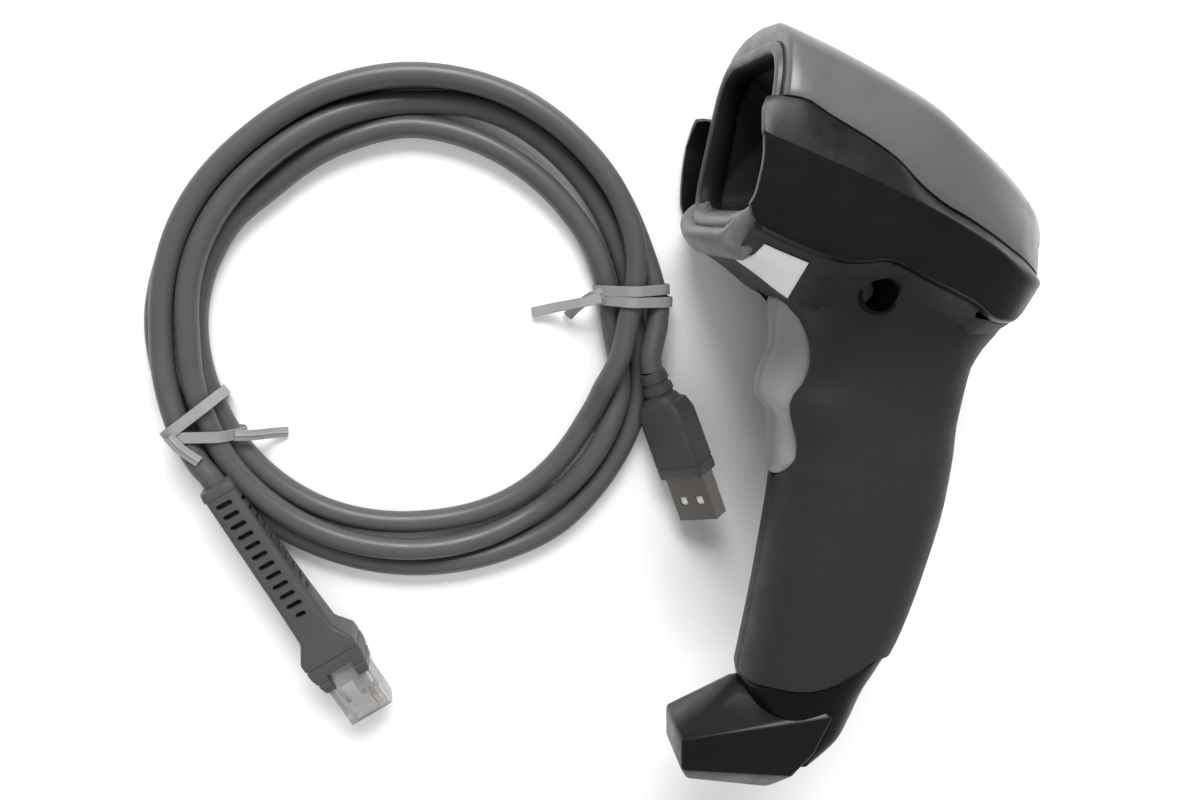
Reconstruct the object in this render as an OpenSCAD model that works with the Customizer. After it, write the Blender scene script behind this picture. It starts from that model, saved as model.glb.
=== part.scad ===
// Handheld barcode scanner lying on its right side, with its unplugged, coiled cable beside it.
// +Z points up out of the table and out of the scanner's left side, +Y runs up the grip to the
// head, and the scan window faces -X. The origin is the centre of the scanner's own footprint.

/* [Head] */
// Width of the head across its two side panels
head_w = 68; // [66:0.5:70]
// Height of the hood's crest above the middle of the scanner
crest_top = 87.25; // [86.5:0.25:88]
// Thickness of the top cover and of the side panels
cover_t = 1.8; // [1.4:0.1:2]
// Thickness of the inner shell walls
wall_t = 2; // [1.6:0.1:2.2]

/* [Window] */
// Half width of the scan window
window_hw = 21; // [18:0.5:22]
// Height of the scan window
window_h = 22; // [18:0.5:24]
// Radius of the lens barrel
barrel_r = 4.4; // [3.5:0.1:5]

/* [Trigger] */
// Width of the trigger blade
trigger_w = 17.6; // [15:0.1:18]
// Radius of the trigger's pivot pin
pin_r = 1.5; // [1:0.1:1.8]
// Radial running clearance on the pin and on the switch plunger
run_gap = 0.05; // [0.03:0.01:0.1]
// Radius of the switch plunger
plunger_r = 1.2; // [0.8:0.1:1.5]

/* [Grip] */
// Radius of the counterbored screw hole in the side
counterbore_r = 4.1; // [3.5:0.1:4.5]
// Radius of the housing screw's shank
screw_r = 1.25; // [1:0.05:1.5]

/* [Cable] */
// Diameter of the cable
cable_d = 5.6; // [5:0.1:6]
// Outer radius of the coil
coil_r = 64.2; // [63:0.1:65]
// Inner radius of the coil
coil_bore_r = 45.6; // [45:0.1:47]
// Top of the coil above the table
coil_top = 12.2; // [11.5:0.1:13]
// Thickness of the tie bands
tie_t = 0.7; // [0.5:0.1:1]

/* [Hidden] */
$fn = 48;
mid = head_w / 2;
half = head_w / 2;
gap = 0.1;

// Head, as station tables of [x, value]: heights in the mid-plane, and half widths
head_x = [-39, -34, -31, -26, -24, -17, -10, -8, -2.5, 2, 8, 14, 22, 24, 28, 32, 36, 39];
rear_end = 39;
crest = [[-34, crest_top], [-24, 85], [-12, 82.1], [2, 77.7], [12, 73.2], [24, 67.6],
    [32, 62.4], [36, 57.5], [39, 51]];
seam = [[-39, 68.5], [-31, 69.3], [-24, 67], [-10, 61.9], [-2.5, 57], [8, 52.8], [24, 47],
    [32, 44.5], [39, 43.5]];
crease = [[-39, 61.5], [-24, 58.4], [-12, 55.8], [0, 52.6], [14, 48], [27, 43.6], [39, 42]];
lower = [[-39, 44.5], [-34, 43.3], [-26, 41.4], [-17, 39.9], [-8, 41.7], [2, 39.3], [14, 36.4],
    [22, 33.4], [28, 34], [32, 38], [39, 40.8]];
keel = [[-39, 38.5], [-34, 36.8], [-29, 34.8], [-20, 30.6], [-8, 27.5], [10, 27.5], [24, 29],
    [32, 33], [36, 37], [39, 40]];
shoulder_hw = [[-39, 24], [-34, 24], [0, 25], [12, 23], [24, 18], [32, 12], [36, 8], [39, 2.6]];
seam_hw = [[-39, 30], [0, 30], [12, 28.5], [24, 24], [32, 18], [36, 12], [39, 4.5]];
crease_hw = [[-39, half], [0, half], [12, half - 2.5], [24, half - 7], [32, half - 13.5],
    [36, half - 20], [39, 5.5]];
lower_hw = [[-39, half], [-4, half], [12, 30], [24, 25], [32, 18], [36, 12], [39, 4.5]];
shoulder_drop = [[-39, 4], [0, 6], [24, 7], [39, 3]];

// Grip, as station tables of [y, value]
grip_y = [-64, -54, -44, -28, -12, 0, 8, 20, 30, 36, 44];
grip_front = [[-64, -10], [-44, -9.8], [-28, -10.2], [-12, -11], [0, -12.4], [8, -14.2],
    [20, -12.5], [30, -20], [36, -27], [44, -30]];
grip_rear = [[-64, 20], [-54, 23.7], [-44, 27.2], [-28, 29.4], [-12, 30.2], [0, 29.8], [8, 29],
    [20, 28.6], [30, 31.6], [36, 34], [44, 34]];
grip_hw = [[-64, 14.6], [-44, 15.4], [-12, 16], [8, 16.6], [20, 18], [30, 21.5], [36, 24.5],
    [44, 26]];

// Heel of the base, as station tables of [y, value]
heel_y = [-80, -77, -72, -66, -60, -54, -46];
heel_front = [[-80, 3], [-72, 0], [-66, -8], [-60, -10.4], [-46, -10.4]];
heel_rear = [[-80, 11], [-77, 13.4], [-72, 17.2], [-66, 19.4], [-60, 20.8], [-54, 23.4],
    [-46, 26.6]];
heel_hw = [[-80, 9.5], [-72, 12], [-66, 13.6], [-60, 14.6], [-46, 15.2]];

// Trigger pivot, switch and board places in the side view
pivot = [-12, 25];
switch_y = 12;
board_x = 2.4;
nub_x = -5.15;

// Cable port and socket
port = [6.4, 16.6];
port_hw = 6.6;

// Small screws of the main board and of the engine bracket
board_screw_x = [-6, 18];
board_screw_w = 15.4;
board_screw_r = 1.2;
bracket_screw_w = 24;

// Coil centre and the two connectors: start point, heading, pitch and roll
coil_c = [-98, 3.5];
boot_at = [-140.5, -38.3, 9.7];
boot_turn = -51;
boot_pitch = 4;
usb_at = [-34.8, -2, 8.6];
usb_turn = -60;
usb_roll = 48;
scanner_route = [[-149.6, -27.5, 9], [-147.9, -30, 9.2], [-146, -32.5, 9.4],
    [-144, -34.8, 9.6], boot_at - [1.3, -1.6, -0.1], boot_at];
usb_route = [[-39.8, 22, 5.8], [-39.4, 19, 6.4], [-39.3, 15.5, 7.1], [-39.6, 12, 7.8],
    [-39.8, 8.5, 8.4], [-38.8, 4.9, 8.6]];

// Closed solid through rings of points that all have the same count. Seen along the rings,
// from the first to the last, the points of a ring run anticlockwise
module loft(rings) {
    n = len(rings[0]);
    last = (len(rings) - 1) * n;
    points = [for (r = rings) for (p = r) p];
    sides = [for (i = [0:len(rings) - 2]) for (j = [0:n - 1])
        [i * n + j, i * n + (j + 1) % n, (i + 1) * n + (j + 1) % n, (i + 1) * n + j]];
    start = [for (j = [n - 1:-1:0]) j];
    end = [for (j = [0:n - 1]) last + j];
    polyhedron(points, concat([start], sides, [end]), convexity = 8);
}

// Half of the head's section at station x, from crest to keel, inset by d
function head_half(x, d) = let(
    top = lookup(x, crest) - d,
    edge = lookup(x, lower) + d * 0.3,
    bottom = min(lookup(x, keel) + d, edge - 0.8),
    sw = lookup(x, shoulder_hw) - d * 0.6,
    lw = lookup(x, lower_hw) - d
) [
    [0.3 * sw, top - 0.2],
    [0.7 * sw, top - 1.6],
    [sw, top - lookup(x, shoulder_drop)],
    [lookup(x, seam_hw) - d, lookup(x, seam)],
    [lookup(x, crease_hw) - d, lookup(x, crease)],
    [lw, edge],
    [0.84 * lw, max(bottom + 0.2, lookup(x, lower) - 3.2)],
    [0.4 * lw, bottom]
];

function head_ring(x, d, at) = let(h = head_half(x, d), k = len(h)) concat(
    [for (p = h) [at, p[1], mid - p[0]]],
    [for (i = [k - 1:-1:0]) [at, h[i][1], mid + h[i][0]]]
);

// Head body inset by d. An inset body runs out of the front by "forward"
module head_body(d, forward) {
    loft([for (i = [0:len(head_x) - 1]) let(x = head_x[i])
        head_ring(min(x, rear_end - d), d, i == 0 ? x - forward : (x > 30 ? x - d : x))]);
}

// Rounded ring in the plane y, between two x values, with a half width
function oval(y, x0, x1, hw, n = 24, power = 0.78) = [for (i = [0:n - 1]) let(
    a = 360 * i / n,
    c = cos(a),
    s = sin(a)
) [(x0 + x1) / 2 + (x1 - x0) / 2 * sign(c) * pow(abs(c), power), y,
    mid + hw * sign(s) * pow(abs(s), power)]];

module grip_body(d) {
    loft([for (y = grip_y) oval(y, lookup(y, grip_front) + d, lookup(y, grip_rear) - d,
        lookup(y, grip_hw) - d)]);
}

module heel_body(d) {
    loft([for (y = heel_y) oval(y, lookup(y, heel_front) + d, lookup(y, heel_rear) - d,
        lookup(y, heel_hw) - d)]);
}

// A side view outline made into a prism across the whole width
module side_prism(outline, low = -1, high = head_w + 1) {
    translate([0, 0, low]) linear_extrude(high - low) polygon(outline);
}

// Everything below the seam line, lowered by "drop"
module below_seam(drop, low, high) {
    line = [for (p = seam) [p[0], p[1] - drop]];
    side_prism(concat([[-46, line[0][1]]], line, [[46, line[len(line) - 1][1]], [46, -10],
        [-46, -10]]), low, high);
}

// Everything above the grip's lower edge, moved by "shift"
module above_base_seam(shift, low, high) {
    side_prism([[-24, -57 + shift], [-12, -57.6 + shift], [-5, -59.2 + shift],
        [2, -58.9 + shift], [8, -57.2 + shift], [13, -53.4 + shift], [17, -49.4 + shift],
        [34, -50.4 + shift], [34, 60], [-24, 60]], low, high);
}

// A body of flat facets, kept together as one mesh
module one_mesh() {
    resize([0, 0, 0]) children();
}

module cylinder_x(x0, x1, y, w, r) {
    translate([x0, y, mid + w]) rotate([0, 90, 0]) cylinder(r = r, h = x1 - x0);
}

module cylinder_y(y0, y1, x, w, r) {
    translate([x, y0, mid + w]) rotate([-90, 0, 0]) cylinder(r = r, h = y1 - y0);
}

module cylinder_z(w0, w1, x, y, r) {
    translate([x, y, mid + w0]) cylinder(r = r, h = w1 - w0);
}

// Box given by its ranges in x, y and the distance from the mid-plane
module block(x, y, w) {
    translate([x[0], y[0], mid + w[0]]) cube([x[1] - x[0], y[1] - y[0], w[1] - w[0]]);
}

// Rounded frame opening in the plane x, as a prism from x0 to x1
module frame_prism(x0, x1, y0, y1, hw_top, hw_low, r) {
    translate([x0, 0, mid]) rotate([90, 0, 90]) linear_extrude(x1 - x0)
        hull() for (s = [-1, 1]) {
            translate([y1 - r, s * (hw_top - r)]) rotate(-90) circle(r = r, $fn = 24);
            translate([y0 + r, s * (hw_low - r)]) rotate(-90) circle(r = r, $fn = 24);
        }
}

module at_boot() {
    translate(boot_at) rotate([0, 0, boot_turn]) rotate([0, boot_pitch, 0]) children();
}

module at_usb() {
    translate(usb_at) rotate([0, 0, usb_turn]) rotate([usb_roll, 0, 0]) children();
}

// Tube swept along a route that stays close to level
module tube(route, d) {
    n = len(route);
    rings = [for (i = [0:n - 1]) let(
        t = route[min(i + 1, n - 1)] - route[max(i - 1, 0)],
        f = t / norm(t),
        side = cross([0, 0, 1], f) / norm(cross([0, 0, 1], f)),
        up = cross(f, side)
    ) [for (a = [315:-45:0]) route[i] + d / 2 * (cos(a) * side + sin(a) * up)]];
    loft(rings);
}

module top_cover() {
    color("#77797c") one_mesh() difference() {
        intersection() {
            head_body(0, 0);
            block([-34.3, 40], [30, 100], [-40, 40]);
        }
        head_body(cover_t, 6);
        below_seam(-0.25, -1, head_w + 1);
        block([33.2, 37.4], [49.6, 56.4], [-5.2, 5.2]);
    }
}

module side_panel(low, high) {
    difference() {
        intersection() {
            head_body(0, 0);
            below_seam(0.25, low, high);
            side_prism(concat([[-50, 100], [-50, 46.6], [-38.2, 46.6]],
                [for (p = lower) if (p[0] > -36) [p[0], p[1] + 0.25]], [[50, 41], [50, 100]]),
                low, high);
        }
        head_body(cover_t, 6);
        grip_body(-0.15);
    }
}

module left_side_panel() {
    color("#26272a") one_mesh() side_panel(mid + 2, head_w + 1);
}

module right_side_panel() {
    color("#26272a") one_mesh() side_panel(-1, mid - 2);
}

// Ring that frames the recess, with the rounded lip under it
module front_bezel() {
    color("#606265") one_mesh() difference() {
        union() {
            intersection() {
                head_body(cover_t + gap, 0);
                block([-35.4, -30], [30, 90], [-40, 40]);
            }
            frame_prism(-38.6, -35.3, 37.2, 52, 27, 26, 9);
        }
        frame_prism(-45, -25, 46, 80.5, 22, 27.4, 7);
    }
}

module window_shroud() {
    color("#232427") one_mesh() difference() {
        hull() {
            frame_prism(-29.9, -29.4, 44.8, 81, 22.4, 27.9, 7);
            frame_prism(-20.6, -20, 48.5, 75, window_hw + 1.6, window_hw + 1.6, 5);
        }
        hull() {
            frame_prism(-30, -29.9, 46.2, 79.8, 21.2, 26.7, 6);
            frame_prism(-20, -19.9, 49.7, 73.6, window_hw, window_hw, 4);
        }
        frame_prism(-21, -19, 50, 73, window_hw - 0.5, window_hw - 0.5, 4);
    }
}

module window_gasket() {
    color("#111214") one_mesh() difference() {
        frame_prism(-19.9, -18.8, 50.6 - 1.6, 50.6 + window_h + 1.6, window_hw + 1,
            window_hw + 1, 3);
        frame_prism(-21, -18, 52, 50.6 + window_h - 1.4, window_hw - 2, window_hw - 2, 2);
    }
}

module scan_window() {
    color("#3a1013", 0.6) frame_prism(-18.7, -17.5, 50.6 - 1.2, 50.6 + window_h + 1.2,
        window_hw + 0.6, window_hw + 0.6, 3);
}

// Tub of the head and grip as one wall, over a range of distances from the mid-plane
module grip_wall(w) {
    one_mesh() difference() {
        intersection() {
            block([-60, 60], [-80, 100], w);
            union() {
                intersection() {
                    head_body(cover_t + gap, 0);
                    below_seam(5, -1, head_w + 1);
                    block([-29.8, 40], [20, 70], [-40, 40]);
                }
                intersection() {
                    grip_body(0);
                    above_base_seam(0, -1, head_w + 1);
                    block([-40, 40], [-64, 40], [-40, 40]);
                }
            }
        }
        head_body(cover_t + wall_t, -8);
        difference() {
            grip_body(wall_t);
            block([-40, 40], [40, 60], [-40, 40]);
        }
        trigger_well();
    }
}

module trigger_well() {
    block([-30, -4], [-13.5, 30.5], [-trigger_w / 2 - 0.5, trigger_w / 2 + 0.5]);
}

// Ledges on the side walls that carry the main board and the engine bracket
module ledges() {
    intersection() {
        head_body(cover_t + gap, 0);
        union() for (s = [-1, 1]) {
            for (x = board_screw_x) block([x - 3, x + 3], [41, 46.5],
                s > 0 ? [board_screw_w - 2, 40] : [-40, 2 - board_screw_w]);
            block([-11, -5], [48.6, 53.3], s > 0 ? [22, 40] : [-40, -22]);
        }
    }
}

// One half of the grip with its pin boss, screw boss and ledges; side is 1 for left, -1 for right
module grip_half(side) {
    difference() {
        union() {
            grip_wall(side > 0 ? [0.05, 60] : [-60, -0.05]);
            intersection() {
                grip_body(0.1);
                union() {
                    cylinder_z(side > 0 ? 8.6 : -40, side > 0 ? 40 : -5, -4, 34.4,
                        counterbore_r + 1.4);
                    cylinder_z(side > 0 ? 9.4 : -40, side > 0 ? 40 : -9.4, pivot[0], pivot[1],
                        pin_r + 1.1);
                }
            }
            intersection() {
                ledges();
                block([-60, 60], [-60, 60], side > 0 ? [5, 60] : [-60, -5]);
            }
        }
        cylinder_z(-11.5, 11.5, pivot[0], pivot[1], pin_r);
        if (side > 0) {
            cylinder_z(10.4, 60, -4, 34.4, counterbore_r);
            cylinder_z(8, 11, -4, 34.4, screw_r + 0.3);
        }
        cylinder_z(-16, -4, -4, 34.4, screw_r + 0.05);
        screw_shanks(board_screw_r + 0.05);
    }
}

module left_grip_shell() {
    color("#3b3c3e") difference() {
        grip_half(1);
        block([16.4, 22.4], [33, 35.6], [20, 40]);
    }
}

module right_grip_shell() {
    color("#3b3c3e") grip_half(-1);
}

module base_cap() {
    color("#1f2022") one_mesh() difference() {
        heel_body(0);
        above_base_seam(-0.15, -1, head_w + 1);
        difference() {
            heel_body(2.2);
            block([-40, 40], [-90, -63.4], [-40, 40]);
        }
        block(port, [-90, -60], [-port_hw, port_hw]);
    }
}

module toe() {
    front = [[-23.4, -76.4, 9.5], [-22, -83.7, 9.2], [-19.5, -87.25, 6.5]];
    rear = [[10.4, -64.2, 14.6], [8, -74, 14], [4.5, -81, 12.4], [1, -87.25, 7],
        [3.4, -85, 7.5]];
    top = [[-12, -66.5, 9], [9, -62.6, 12.5]];
    color("#2b2c2f") one_mesh() difference() {
        hull() polyhedron(
            [for (s = [-1, 1]) for (p = concat(front, rear, top)) [p[0], p[1], mid + s * p[2]]],
            [[for (i = [0:9]) i], [for (i = [19:-1:10]) i]]
        );
        heel_body(-gap);
        block([port[0], 30], [-90, -55], [-port_hw, port_hw]);
    }
}

// Blank sheet that wraps the underside of the nose on the left
module blank_label() {
    color("#e4e4e2") one_mesh() intersection() {
        difference() {
            head_body(cover_t + gap - 0.35, 0);
            head_body(cover_t + gap - 0.05, 6);
            grip_body(-0.05);
        }
        side_prism([[-29.6, 42.2], [-20.6, 39], [-18, 28], [-27, 30]], mid + 9, mid + 29);
    }
}

module housing_screw() {
    color("#8f9194") difference() {
        union() {
            cylinder_z(10.4, 12.6, -4, 34.4, 2.7);
            cylinder_z(-12, 10.4, -4, 34.4, screw_r);
        }
        for (a = [0, 90]) translate([-4, 34.4, mid + 12]) rotate([0, 0, a])
            cube([3, 0.7, 1.6], center = true);
    }
}

// Shanks of the six small screws that hold the board and the bracket down on their ledges
module screw_shanks(r) {
    for (s = [-1, 1]) {
        for (x = board_screw_x) cylinder_y(42.2, 48.3, x, s * board_screw_w, r);
        cylinder_y(49.4, 54.9, -8, s * bracket_screw_w, r);
    }
}

module board_screws() {
    color("#8f9194") {
        screw_shanks(board_screw_r);
        for (s = [-1, 1]) {
            for (x = board_screw_x) cylinder_y(48.25, 49.8, x, s * board_screw_w, 2.3);
            cylinder_y(54.85, 56.4, -8, s * bracket_screw_w, 2.3);
        }
    }
}

module status_light_lens() {
    color("#a9abad") one_mesh() intersection() {
        head_body(0.1, 0);
        block([33.4, 37.2], [49.8, 56.2], [-5, 5]);
    }
}

module imager_housing() {
    color("#2a2b2e") difference() {
        block([-14, 0], [55, 69], [-12, 9]);
        cylinder_x(-15, -5.9, 62, 0, barrel_r);
        block([-6, -1.5], [57, 67], [-6, 6]);
        cylinder_x(-15, -3, 62, -9, 1.9);
    }
}

module lens_barrel() {
    color("#141518") difference() {
        cylinder_x(-15.4, -6.2, 62, 0, barrel_r);
        cylinder_x(-16, -6, 62, 0, barrel_r - 1.3);
    }
}

module lens() {
    color("#9db4c4", 0.5) intersection() {
        cylinder_x(-14.4, -11, 62, 0, barrel_r - 1.3);
        translate([-7, 62, mid]) sphere(r = 7.2);
    }
}

module image_sensor() {
    color("#3c4a3e") block([-2.9, -1.6], [58, 66], [-5, 5]);
}

module aimer() {
    color("#50524c") cylinder_x(-14.6, -3.2, 62, -9, 1.85);
}

module illumination_leds() {
    color("#e9e4cf") for (w = [-17, 14]) {
        block([-14, -12.4], [56, 68], [w - 1.6, w + 4.6]);
        for (y = [59, 65]) cylinder_x(-15.6, -14, y, w + 1.5, 1.9);
    }
}

module engine_bracket() {
    color("#a3a5a8") difference() {
        union() {
            block([-16, 2], [53.4, 54.8], [-26.6, 26.6]);
            for (w = [-21, 19.6]) block([-12.2, -11], [54.8, 68], [w, w + 1.4]);
            block([-12.2, -11], [54.8, 58], [-19, -12.2]);
        }
        for (s = [-1, 1]) cylinder_y(52, 56, -8, s * bracket_screw_w, board_screw_r + 0.1);
    }
}

// Flat ribbon from the back of the imager down to the board
module engine_flex_cable() {
    color("#b07a2c") side_prism([[0.1, 57], [0.1, 64], [0.5, 64.6], [3.6, 64.6], [4, 64.2],
        [4, 48.4], [3.6, 48.4], [3.6, 64.2], [0.5, 64.2], [0.5, 57]], mid - 4, mid + 4);
}

module main_board() {
    color("#1f5b34") difference() {
        block([-14, 27], [46.6, 48.2], [-17, 17]);
        for (x = board_screw_x) for (s = [-1, 1])
            cylinder_y(46, 49, x, s * board_screw_w, board_screw_r + 0.1);
    }
}

module board_chips() {
    color("#1a1b1d") {
        block([-10, -1], [48.2, 49.6], [-12, -3]);
        block([8, 18], [48.2, 49.8], [-12, -2]);
        block([-9, -3], [48.2, 49.4], [3, 12]);
        for (x = [5.4, 8.4]) block([x, x + 1.6], [48.2, 49], [3, 4]);
    }
}

module beeper() {
    color("#2d2e30") difference() {
        cylinder_y(48.2, 53, 17, 6.4, 6);
        cylinder_y(51, 54, 17, 6.4, 1);
    }
}

module board_header() {
    color("#d8d2bd") block([board_x + 1.7, board_x + 6.7], [41, 46.6], [-6, 6]);
}

module handle_board() {
    color("#1f5b34") block([board_x, board_x + 1.6], [-60, 45], [-10, 10]);
}

module trigger_switch() {
    color("#35363a") difference() {
        block([-3, board_x], [switch_y - 3.5, switch_y + 3.5], [-3.5, 3.5]);
        cylinder_x(-3.5, 0.6, switch_y, 0, plunger_r + run_gap);
    }
}

module switch_plunger() {
    color("#c8b47a") cylinder_x(-5, -1.2, switch_y, 0, plunger_r);
}

trigger_outline = [[-17.6, 29.4], [-19.4, 28.2], [-19.6, 26], [-18.9, 23], [-18.4, 20],
    [-18.5, 17], [-19, 14], [-19.5, 11], [-19.6, 8.6], [-19, 6.6], [-17.4, 4.9], [-15.7, 3],
    [-14.6, 0], [-13.8, -3.4], [-13, -7], [-12.4, -10], [-11.6, -11.3], [-10, -11.6],
    [-8.8, -10.6], [-8.4, -7], [-8.4, 2], [-9.6, 6], [-9.4, 18], [-8.2, 22], [-8.2, 28.4],
    [-9.2, 29.4]];

module trigger() {
    hw = trigger_w / 2;
    color("#85878a") difference() {
        union() {
            side_prism(trigger_outline, mid - hw, mid + hw);
            block([-10, nub_x], [switch_y - 1.5, switch_y + 1.5], [-1.5, 1.5]);
        }
        cylinder_z(-hw - 1, hw + 1, pivot[0], pivot[1], pin_r + run_gap);
        block([-20, -5], [14.4, 29.5], [-3.4, 3.4]);
        side_prism([[-16.4, 14.2], [-16.9, 9], [-12.6, 3], [-8, 3], [-8, 8], [-10.4, 8],
            [-10.4, 14.2]], mid - hw + 1.6, mid - 2);
        side_prism([[-16.4, 14.2], [-16.9, 9], [-12.6, 3], [-8, 3], [-8, 8], [-10.4, 8],
            [-10.4, 14.2]], mid + 2, mid + hw - 1.6);
    }
    color("#85878a") side_prism([[-17.6, 29.4], [-19.4, 28.2], [-19.6, 26], [-18.9, 23],
        [-18.4, 20], [-18.5, 17], [-18.9, 14.4], [-17, 14.4], [-16.8, 20], [-17.6, 26],
        [-16.8, 29.4]], mid - 3.5, mid + 3.5);
}

module trigger_pivot_pin() {
    color("#b9bbbe") cylinder_z(-11.4, 11.4, pivot[0], pivot[1], pin_r - 0.005);
}

// Torsion spring: a helix round the pin and two straight legs
module trigger_spring() {
    turns = 3.25;
    r = 2.3;
    wire = 0.45;
    steps = 39;
    rings = [for (i = [0:steps]) let(a = 360 * turns * i / steps)
        [for (b = [0:60:300]) [
            pivot[0] + (r + wire / 2 * cos(b)) * cos(a),
            pivot[1] + (r + wire / 2 * cos(b)) * sin(a),
            mid - 2.6 + 5.2 * i / steps + wire / 2 * sin(b)]]];
    color("#c3c5c8") {
        loft(rings);
        translate([pivot[0] + r - wire / 2, pivot[1] - 7, mid - 2.6 - wire / 2])
            cube([wire, 7.1, wire]);
        translate([pivot[0] - 4.6, pivot[1] + r - wire / 2, mid + 2.6 - wire / 2])
            cube([4.7, wire, wire]);
    }
}

module cable_socket() {
    color("#2e2f31") difference() {
        union() {
            block([board_x + 1.6, 15], [-62.4, -44], [-7.3, 7.3]);
            block([15, 17.3], [-62.4, -48], [-4.4, 4.4]);
        }
        block([6.6, 13.4], [-63, -48], [-5.95, 5.95]);
        block([13.3, 16.2], [-63, -50], [-3.1, 3.1]);
    }
}

module socket_contacts() {
    color("#d9b45a") for (i = [0:9]) let(w = (i - 4.5) * 1.02)
        block([6.65, 7.5], [-60, -48.1], [w - 0.2, w + 0.2]);
}

module cable_coil() {
    color("#5d5f61") difference() {
        translate([coil_c[0], coil_c[1], 0]) rotate_extrude($fn = 96) polygon([
            [coil_bore_r + 2, tie_t], [coil_r - 2, tie_t], [coil_r, tie_t + 2.4],
            [coil_r, coil_top - 3], [coil_r - 3, coil_top], [coil_bore_r + 3, coil_top],
            [coil_bore_r, coil_top - 3], [coil_bore_r, tie_t + 2.4]]);
        at_boot() translate([-3, -5.4, -4.8]) cube([64, 10.8, 14]);
        at_usb() translate([-9, -8.2, -4.8]) cube([40, 16.4, 9.6]);
    }
}

module scanner_lead() {
    color("#5d5f61") tube(scanner_route, cable_d);
}

module usb_lead() {
    color("#5d5f61") tube(usb_route, cable_d);
}

// Bend relief with slots on its faces, and the faceted head that grips the plug
module bend_relief_boot() {
    color("#595b5d") at_boot() one_mesh() difference() {
        union() {
            hull() {
                translate([0, -4, -3.9]) cube([0.5, 8, 7.8]);
                translate([47, -4.8, -4.5]) cube([0.5, 9.6, 9]);
            }
            hull() {
                translate([45, -4.8, -4.5]) cube([0.5, 9.6, 9]);
                translate([50, -7.4, -5.1]) cube([5, 14.8, 10.2]);
                translate([60, -6.2, -4.6]) cube([0.5, 12.4, 9.2]);
            }
        }
        for (i = [0:12]) for (s = [-1, 1]) {
            translate([3 + 2.9 * i, s > 0 ? 1 : -3.4, 1.6]) cube([1.2, 2.4, 4]);
            translate([4.4 + 2.9 * i, s > 0 ? 2.4 : -5.4, -2.6]) cube([1.2, 3, 2.4]);
        }
        translate([53.8, -5.9, -3.35]) cube([8, 11.8, 6.7]);
        translate([56, -3.4, 3]) cube([6, 6.8, 3]);
    }
}

module modular_plug() {
    color("#d9dcde", 0.5) at_boot() difference() {
        translate([53.9, -5.85, -3.3]) cube([18.3, 11.7, 6.6]);
        translate([53, -4.4, -1.4]) cube([12, 8.8, 3]);
        for (i = [0:9]) translate([67.2, (i - 4.5) * 1.02 - 0.25, -3.4]) cube([6, 0.5, 3.2]);
    }
}

module plug_contacts() {
    color("#d9b45a") at_boot() for (i = [0:9])
        translate([67.3, (i - 4.5) * 1.02 - 0.2, -3]) cube([4.2, 0.4, 2.6]);
}

module plug_latch() {
    color("#d9dcde", 0.5) at_boot() translate([70.6, 0, 4.1]) rotate([0, 13, 0]) {
        translate([-5.6, -3.1, -0.4]) cube([6, 6.2, 0.8]);
        translate([-11.4, -1.6, -0.4]) cube([6, 3.2, 0.8]);
        translate([0, 3.1, 0]) rotate([90, 0, 0]) cylinder(r = 0.4, h = 6.2);
    }
}

module usb_overmould() {
    color("#4f5153") at_usb() difference() {
        union() {
            translate([-8, 0, 0]) rotate([0, 90, 0]) cylinder(r1 = 3.2, r2 = 4, h = 8.1);
            hull() {
                translate([0, -5.4, -3.6]) cube([0.5, 10.8, 7.2]);
                translate([3, -7.4, -4]) cube([17.6, 14.8, 8]);
            }
        }
        translate([13, -6, -2.25]) cube([8, 12, 4.5]);
    }
}

module usb_shell() {
    color("#b4b2ae") at_usb() difference() {
        translate([13.05, -6, -2.25]) cube([19.8, 12, 4.5]);
        translate([13, -5.7, -1.95]) cube([21, 11.4, 3.9]);
        for (s = [-1, 1]) translate([26.2, s * 2.6 - 1.15, -3]) cube([2.3, 2.3, 6]);
    }
}

module usb_tongue() {
    color("#e8e8e6") at_usb() difference() {
        union() {
            translate([13.1, -5.65, -1.9]) cube([6, 11.3, 3.8]);
            translate([19, -5.65, -1.9]) cube([13, 11.3, 1.8]);
        }
        for (y = [-3.5, -1, 1, 3.5]) translate([19.1, y - 0.6, -0.3]) cube([12, 1.2, 1]);
    }
}

module usb_contacts() {
    color("#d9b45a") at_usb() for (y = [-3.5, -1, 1, 3.5])
        translate([19.2, y - 0.5, -0.28]) cube([y * y > 4 ? 10.6 : 9, 1, 0.22]);
}

// Band round the coil at an angle, with free ends that point inward
module tie_band(angle, width, tails) {
    translate([coil_c[0], coil_c[1], 0]) rotate([0, 0, angle]) {
        difference() {
            translate([coil_bore_r - tie_t, -width / 2, 0])
                cube([coil_r - coil_bore_r + 2 * tie_t, width, coil_top + tie_t]);
            translate([coil_bore_r - 0.05, -width, tie_t])
                cube([coil_r - coil_bore_r + 0.1, 2 * width, coil_top - tie_t]);
        }
        for (t = tails) translate([coil_bore_r - tie_t, t[0], 6]) rotate([0, 0, t[2]])
            translate([-t[1], -1.3, -0.4]) cube([t[1] + 0.3, 2.6, 0.8]);
    }
}

module coil_tie_right() {
    color("#b3b5b6") tie_band(21, 5.4, [[0.6, 15, 5], [-1.4, 6.5, 19]]);
}

module coil_tie_left() {
    color("#b3b5b6") tie_band(210, 6, [[1.2, 9, -28]]);
}

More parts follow.
